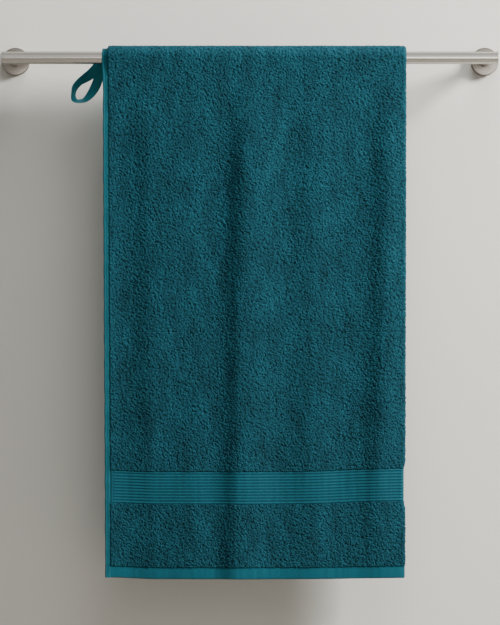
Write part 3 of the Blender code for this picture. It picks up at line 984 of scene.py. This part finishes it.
def stitch_row(name, line):
    """Stitches along a line of points."""
    mesh = bpy.data.meshes.new(name)
    edges = [(k, k + 1) for k in range(len(line) - 1)]
    mesh.from_pydata(np.asarray(line).tolist(), edges, [])
    row = new_object(name, mesh, THREAD)
    finish_with(row, STITCHES, Stitch_Spacing=STITCH, Finish=THREAD)
    smooth(row.data)
    return row


SEAM_STOP = 0.002             # from the last stitch of a side hem to the bottom edge
groove_out = HEM_PLY / 2 - 0.00022
for run in ("front", "back"):
    path = np.linspace(*either_side(run, 0.0, QUARTER + DROP - SEAM_STOP), 240)
    for label, left, middle in (
        ("outer", LEFT, MIDDLE_OUT + groove_out), ("inner", INNER_LEFT, MIDDLE_IN - groove_out),
    ):
        line = hang(left + SEAM_LINE, path, middle)
        row = stitch_row(f"{run}_side_stitches_{label}", line)
        ride_drop(row, run, True)
    across = np.linspace(*wrap_across, 400)
    side = 1 if run == "front" else -1
    line = cloth(across, side * (QUARTER + HEM_TOP + END_SEAM), groove_out)
    row = stitch_row(f"{run}_end_stitches", line)
    ride_drop(row, run, False)

# %% [markdown]
# ## Hanging loop
# The loop is a woven tape, 13 mm wide. Both ends lie flat on the back of the side hem, one on
# the other. A tape bends only across its width, so the free part turns like a funnel that opens
# towards the room. Its route is a short list of places, each with the way its width points.

# %% Loop
TAPE_WIDTH, TAPE_THICKNESS = 0.0128, 0.0010
hem_face = RAIL_Y + TUBE_RADIUS + MIDDLE_OUT + HEM_PLY / 2 + TAPE_THICKNESS * 0.6
ROUTE = [
    # x and z of the middle, how far behind the hem's face, x and z of the way the width points
    (-0.1785, 0.0005, 0.0014, 0.00, 1.00),
    (-0.1860, -0.0010, 0.0015, -0.25, 0.95),
    (-0.1930, -0.0065, 0.0017, -0.60, 0.78),
    (-0.1995, -0.0142, 0.0019, -0.70, 0.70),
    (-0.2056, -0.0203, 0.0018, -0.70, 0.69),
    (-0.2122, -0.0250, 0.0014, -0.60, 0.59),
    (-0.2190, -0.0297, 0.0010, -0.45, 0.45),
    (-0.2249, -0.0368, 0.0008, -0.42, 0.38),
    (-0.2270, -0.0450, 0.0006, -0.37, 0.02),
    (-0.2260, -0.0522, 0.0004, -0.40, -0.27),
    (-0.2213, -0.0544, 0.0002, -0.05, -0.38),
    (-0.2122, -0.0528, 0.0002, 0.40, -0.42),
    (-0.2036, -0.0440, 0.0002, 0.78, -0.40),
    (-0.1976, -0.0332, 0.0000, 0.87, -0.46),
    (-0.1938, -0.0228, 0.0000, 0.88, -0.42),
    (-0.1885, -0.0145, 0.0000, 0.60, -0.78),
    (-0.1785, -0.0120, 0.0000, 0.00, -1.00),
]


def smooth_route(values):
    """Catmull-Rom curve through the values."""
    steps = 9
    values = np.array(values, float)
    padded = np.concatenate([2 * values[:1] - values[1:2], values, 2 * values[-1:] - values[-2:-1]])
    out = []
    for k in range(len(values) - 1):
        a, b, c, d = padded[k: k + 4]
        for step in range(steps):
            u = step / steps
            out.append(0.5 * (2 * b + (c - a) * u + (2 * a - 5 * b + 4 * c - d) * u * u
                              + (3 * b - a - 3 * c + d) * u ** 3))
    return np.array(out + [values[-1]])


def tape(name, route):
    middles = smooth_route([(x, hem_face + behind, z) for x, z, behind, _, _ in route])
    widths = smooth_route([
        (wx, -np.sqrt(max(0.0, 1 - wx * wx - wz * wz)), wz) for *_, wx, wz in route])
    tangents = np.gradient(middles, axis=0)
    tangents /= np.linalg.norm(tangents, axis=1, keepdims=True)
    widths -= tangents * (widths * tangents).sum(1, keepdims=True)
    widths /= np.linalg.norm(widths, axis=1, keepdims=True)
    normals = np.cross(tangents, widths)
    profile = rounded_profile(TAPE_WIDTH, TAPE_THICKNESS) - [TAPE_WIDTH / 2, 0]
    rings = middles[:, None] + widths[:, None] * profile[None, :, :1]
    rings = rings + normals[:, None] * profile[None, :, 1:]
    run = np.concatenate([[0], np.cumsum(np.linalg.norm(np.diff(middles, axis=0), axis=1))])
    places = np.stack(np.broadcast_arrays(profile[None, :, 0], run[:, None]), -1)
    return swept_piece(name, rings[:, ::-1], TAPE_PAINTED_LIGHT, 50, places[:, ::-1]), run[-1]


loop, loop_length = tape("hanging_loop_tape", ROUTE)
settle(loop, "hanging_loop", "teal_tape", "hanging_loop")
print(f"loop tape: {loop_length * 1000:.0f} mm")

# %% [markdown]
# ## Rail
# The rail's metal is turned stock: each piece is a profile spun round its axis, with a small
# broken edge that catches the light. The design model's brackets and grub screws are already
# right, so they stay and only get their finish.

# %% Turned metal
def spun(name, outline, axis, origin, material, sides=96, closed=False):
    """Spin (radius, height) points round an axis through the origin."""
    outline = np.array(outline, float)
    turns = np.arange(sides) * 2 * pi / sides
    axis = Vector(axis).normalized()
    frame_turn = Vector((0, 0, 1)).rotation_difference(axis).to_matrix()
    radii, heights = outline[:, 0], outline[:, 1]
    points = np.stack([
        radii[None] * np.cos(turns)[:, None], radii[None] * np.sin(turns)[:, None],
        np.broadcast_to(heights[None], (sides, len(outline))),
    ], -1)
    world = points.reshape(-1, 3) @ np.array(frame_turn).T + np.array(origin)
    count = len(outline)
    faces = []
    last = count if closed else count - 1
    for s in range(sides):
        n = (s + 1) % sides
        for k in range(last):
            m = (k + 1) % count
            faces.append((s * count + k, n * count + k, n * count + m, s * count + m))
    if not closed:
        faces.append(tuple(s * count for s in range(sides))[::-1])
        faces.append(tuple(s * count + count - 1 for s in range(sides)))
    mesh = bpy.data.meshes.new(name)
    mesh.from_pydata(world.tolist(), [], faces)
    smooth(mesh, 30)
    return new_object(name, mesh, material)


def rounded_corner(radius, height, edge, steps):
    """Quarter round of an outline's corner."""
    angles = [radians(90 * k / steps) for k in range(steps + 1)]
    return [(radius + edge * cos(a), height + edge * sin(a)) for a in angles]


TUBE_WALL = 0.0012
PLUG_GAP = 0.0004             # between an end cap's plug and the tube's bore
CAP_HEAD, CAP_EDGE = 0.0015, 0.0003
FLANGE_SIDE, FLANGE_FACE = 0.003, 0.0025  # its walls
FLANGE_BORE, FLANGE_EDGE = 0.0043, 0.0011
WELD_SIZE = 0.0011


def rail_tube():
    bore = TUBE_RADIUS - TUBE_WALL
    ends = tube_low[0], tube_high[0]
    outline = [(bore, ends[0]), (TUBE_RADIUS, ends[0]), (TUBE_RADIUS, ends[1]), (bore, ends[1])]
    tube = spun("tube", outline, (1, 0, 0), (0, RAIL_Y, 0), TUBE_STEEL, 128, closed=True)
    settle(tube, "rail", "brushed_stainless", "rail_tube")


def end_cap(side):
    low, high = corners(f"rail_end_cap_{side}")
    outward_x = 1 if side == "right" else -1
    head_end = (high if side == "right" else low)[0] * outward_x
    inner_end = (low if side == "right" else high)[0] * outward_x
    seat, plug, edge = head_end - CAP_HEAD, TUBE_RADIUS - TUBE_WALL - PLUG_GAP, CAP_EDGE
    outline = [(plug, inner_end), (plug, seat), (TUBE_RADIUS, seat)]
    outline += rounded_corner(TUBE_RADIUS - edge, head_end - edge, edge, 4)
    cap = spun(f"end_cap_{side}", outline, (outward_x, 0, 0), (0, RAIL_Y, 0), POST_STEEL)
    settle(cap, "rail", "brushed_stainless", f"rail_end_cap_{side}")


def flange(side):
    low, high = corners(f"flange_{side}")
    x, radius, depth = (low[0] + high[0]) / 2, (high[0] - low[0]) / 2, high[1] - low[1]
    inside, face, edge = radius - FLANGE_SIDE, depth - FLANGE_FACE, FLANGE_EDGE
    outline = [(inside, 0), (radius, 0)]
    outline += rounded_corner(radius - edge, depth - edge, edge, 6)
    outline += [(FLANGE_BORE, depth), (FLANGE_BORE, face), (inside, face)]
    cup = spun(f"wall_flange_{side}", outline, (0, -1, 0), (x, 0, 0), FLANGE_STEEL_PAINTED_SHADE, 128, closed=True)
    settle(cup, "rail", "brushed_stainless", f"flange_{side}")


def post(side):
    """Round bar that is coped over the tube; a fillet of weld closes the joint."""
    low, high = corners(f"post_{side}")
    x, radius = (low[0] + high[0]) / 2, (high[0] - low[0]) / 2
    flange_front = -corners(f"flange_{side}")[0][1]
    sides, rows = 96, 24
    turns = np.arange(sides) * 2 * pi / sides
    across, up = radius * np.cos(turns), radius * np.sin(turns)
    cope = -RAIL_Y - np.sqrt(np.maximum((TUBE_RADIUS + 0.0002) ** 2 - up ** 2, 0))
    share = np.linspace(0, 1, rows)[:, None]
    swell = 1 + 0.10 * np.exp(-(1 - share) * (cope[None] - flange_front) / WELD_SIZE)
    depth = flange_front + 0.0001 + share * (cope[None] - flange_front - 0.0001)
    rings = np.stack([x + across[None] * swell, -depth, up[None] * swell + 0 * depth], -1)
    bar = swept_piece(f"rail_post_{side}", rings, POST_STEEL, 40)
    settle(bar, "rail", "brushed_stainless", f"post_{side}")


rail_tube()
for side in ("left", "right"):
    end_cap(side)
    flange(side)
    post(side)
    for node in (f"wall_bracket_{side}", f"grub_screw_{side}"):
        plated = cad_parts[node].data.materials
        plated.clear()
        plated.append(ZINC)

# %% [markdown]
# ## Wall screws
# Each bracket hangs on two cross-head screws, made here with plain domed heads. The thread is a
# helix: the radius of each point depends on how far it is along the screw and round it, which
# one formula gives.

# %% Threaded screws
HEAD_HEIGHT, POINT_LENGTH = 0.0024, 0.007
CORE_RADIUS, THREAD_DEPTH, THREAD_PITCH = 0.00145, 0.00055, 0.0016


def threaded_screw(node):
    low, high = corners(node)
    x, head_y, tip_y = (low[0] + high[0]) / 2, low[1], high[1]
    head_radius = (high[0] - low[0]) / 2
    sides, rows = 28, 150
    depth = np.linspace(0, tip_y - head_y, rows)[:, None]
    turn = np.linspace(0, 2 * pi, sides, endpoint=False)[None, :]
    crest = np.abs(((depth / THREAD_PITCH - turn / (2 * pi)) % 1) - 0.5) * 2
    taper = np.clip((tip_y - head_y - depth) / POINT_LENGTH, 0.04, 1)
    shank = (CORE_RADIUS + THREAD_DEPTH * np.clip(crest * 2 - 0.9, 0, 1)) * taper
    dome = head_radius * np.sqrt(np.clip(1 - (1 - depth / HEAD_HEIGHT) ** 2 * 0.55, 0, 1))
    radius = np.where(depth <= HEAD_HEIGHT, dome, shank)
    rings = np.stack(
        [x + radius * np.cos(turn), head_y + depth + 0 * turn, radius * np.sin(turn)], -1)
    screw = swept_piece(node + "_threaded", rings[::-1], ZINC, 30)
    settle(screw, "wall_mounts", "zinc_plated", node)


for side in ("left", "right"):
    for end in ("a", "b"):
        threaded_screw(f"wall_screw_{side}_{end}")

# %% [markdown]
# ## Stage, light and camera
# A plain wall stands just behind the flanges and a plain floor lies well below. The wall lets
# the camera look through it from behind, so the back of the towel can be seen as well. The key
# light comes from the right and rakes across the cloth, which brings out its waves.

# %% Stage
def stage_plane(name, places, colour, see_through_back):
    mesh = bpy.data.meshes.new(name)
    mesh.from_pydata(places, [], [(0, 1, 2, 3)])
    material, tree, shader = principled(name)
    feed(tree, shader, Base_Color=(*colour, 1), Roughness=0.9)
    if see_through_back:
        facing = add(tree, "ShaderNodeNewGeometry").outputs["Backfacing"]
        clear = add(tree, "ShaderNodeBsdfTransparent").outputs[0]
        mix = add(tree, "ShaderNodeMixShader")
        feed(tree, mix, i0=facing, i1=shader.outputs[0], i2=clear)
        feed(tree, tree.nodes["Material Output"], Surface=mix.outputs[0])
    plane = new_object(name, mesh, material)
    plane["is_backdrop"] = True
    return plane


WALL_Y, FLOOR_Z, REACH, FLOOR_FRONT = 0.0006, -1.05, 4.0, -2.4
wall = stage_plane("wall", [
    (-REACH, WALL_Y, FLOOR_Z), (REACH, WALL_Y, FLOOR_Z),
    (REACH, WALL_Y, REACH), (-REACH, WALL_Y, REACH),
], (0.67, 0.66, 0.615), True)
wall.visible_shadow = False
stage_plane("floor", [
    (-REACH, FLOOR_FRONT, FLOOR_Z), (REACH, FLOOR_FRONT, FLOOR_Z),
    (REACH, REACH, FLOOR_Z), (-REACH, REACH, FLOOR_Z),
], (0.24, 0.22, 0.195), False)


def area_light(name, place, target, size, power, colour=(1, 1, 1), shows_in_metal=True):
    lamp = bpy.data.lights.new(name, "AREA")
    lamp.shape = "RECTANGLE"
    lamp.size, lamp.size_y = size
    lamp.energy = power
    lamp.color = colour
    holder = bpy.data.objects.new(name, lamp)
    holder.location = place
    holder.rotation_euler = (Vector(target) - Vector(place)).to_track_quat("-Z", "Y").to_euler()
    holder.visible_glossy = shows_in_metal
    bpy.context.scene.collection.objects.link(holder)


area_light("key", (2.1, -1.05, 0.95), (0, 0, -0.25), (0.6, 0.8), 190, (1.0, 0.985, 0.96))
area_light("fill", (-0.8, -3.2, 1.6), (0, 0, -0.3), (1.6, 1.6), 8, (0.97, 0.99, 1.0),
           shows_in_metal=False)
area_light("overhead", (0.3, -0.9, 1.5), (0, RAIL_Y, 0), (1.0, 1.0), 24, shows_in_metal=False)
area_light("back", (-0.8, 2.6, 0.8), (0, 0, -0.3), (1.6, 1.6), 60)

# %% [markdown]
# A round polished bar shows the room as bands. The world's light is therefore a soft room: a
# pale ceiling and upper walls, a dark line where furniture would stand, and a warm floor. The
# camera itself sees a plain pale colour.

# %% Room light
ROOM_BANDS = [
    # height of the direction, -1 straight down to 1 straight up, and its colour
    (-1.00, (0.25, 0.22, 0.18)), (-0.62, (0.25, 0.22, 0.18)), (-0.50, (0.13, 0.115, 0.10)),
    (-0.22, (0.16, 0.145, 0.13)), (-0.06, (0.56, 0.55, 0.52)), (0.50, (1.00, 0.99, 0.96)),
    (1.00, (0.56, 0.55, 0.525)),
]
WINDOW = 8.0                  # how much brighter a window makes the room, to the right
WINDOW_LOW, WINDOW_TALL = 0.16, 0.25  # its middle is a little below level, and its soft height
ROOM_STRENGTH = 0.34
GLOSS_STRENGTH = 1.20         # the same room as polished metal shows it
PLAIN_BACKGROUND = (0.62, 0.61, 0.59)

world = bpy.data.worlds.new("studio")
bpy.context.scene.world = world
world.use_nodes = True
sky = world.node_tree
direction = split(sky, add(sky, "ShaderNodeTexCoord").outputs["Generated"])
bands = add(sky, "ShaderNodeValToRGB")
feed(sky, bands, Fac=scaled(sky, direction["Z"], 0.5, 0.5))
while len(bands.color_ramp.elements) < len(ROOM_BANDS):
    bands.color_ramp.elements.new(0.5)
for stop, (height, colour) in zip(bands.color_ramp.elements, ROOM_BANDS):
    stop.position = height / 2 + 0.5
    stop.color = (*colour, 1)
path = add(sky, "ShaderNodeLightPath")
room = sky.nodes["Background"]
to_right = add(sky, "ShaderNodeMapRange", interpolation_type="SMOOTHSTEP")
feed(sky, to_right, Value=direction["X"], From_Min=-0.09, From_Max=0.09, To_Min=0.0, To_Max=1.0)
to_right = to_right.outputs[0]
height = maths(sky, "DIVIDE", maths(sky, "ADD", direction["Z"], WINDOW_LOW), WINDOW_TALL)
height = product(sky, product(sky, height, height), -1.0)
window = product(sky, to_right, maths(sky, "EXPONENT", height))
window = product(sky, window, WINDOW)
side = scaled(sky, to_right, 0.44, 0.68)
shine = product(sky, maths(sky, "ADD", side, window), GLOSS_STRENGTH)
shine = maths(sky, "SUBTRACT", shine, ROOM_STRENGTH)
gloss = scaled(sky, path.outputs["Is Glossy Ray"], shine, ROOM_STRENGTH)
feed(sky, room, Color=bands.outputs["Color"], Strength=gloss)
plain = add(sky, "ShaderNodeBackground")
feed(sky, plain, Color=(*PLAIN_BACKGROUND, 1))
chosen = add(sky, "ShaderNodeMixShader")
feed(sky, chosen, i0=path.outputs["Is Camera Ray"], i1=room.outputs[0], i2=plain.outputs[0])
feed(sky, sky.nodes["World Output"], Surface=chosen.outputs[0])

# %% Camera
CAMERA_DISTANCE = 3.80        # from the rail's axis
VIEW_HEIGHT = 0.800           # seen in the plane of the rail
VIEW_MIDDLE = -0.326          # height of the picture's middle
SENSOR = 36.0

lens = bpy.data.cameras.new("camera")
lens.sensor_width = SENSOR
lens.lens = SENSOR * CAMERA_DISTANCE / VIEW_HEIGHT
camera = bpy.data.objects.new("camera", lens)
camera.location = (0, RAIL_Y - CAMERA_DISTANCE, VIEW_MIDDLE)
camera.rotation_euler = (pi / 2, 0, 0)
bpy.context.scene.collection.objects.link(camera)
bpy.context.scene.camera = camera

# %% Sizes of the finished model
boxes = {"design": design_box, "finished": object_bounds()}
boxes = {name: [[float(v) for v in corner] for corner in box] for name, box in boxes.items()}
print(json.dumps(boxes))
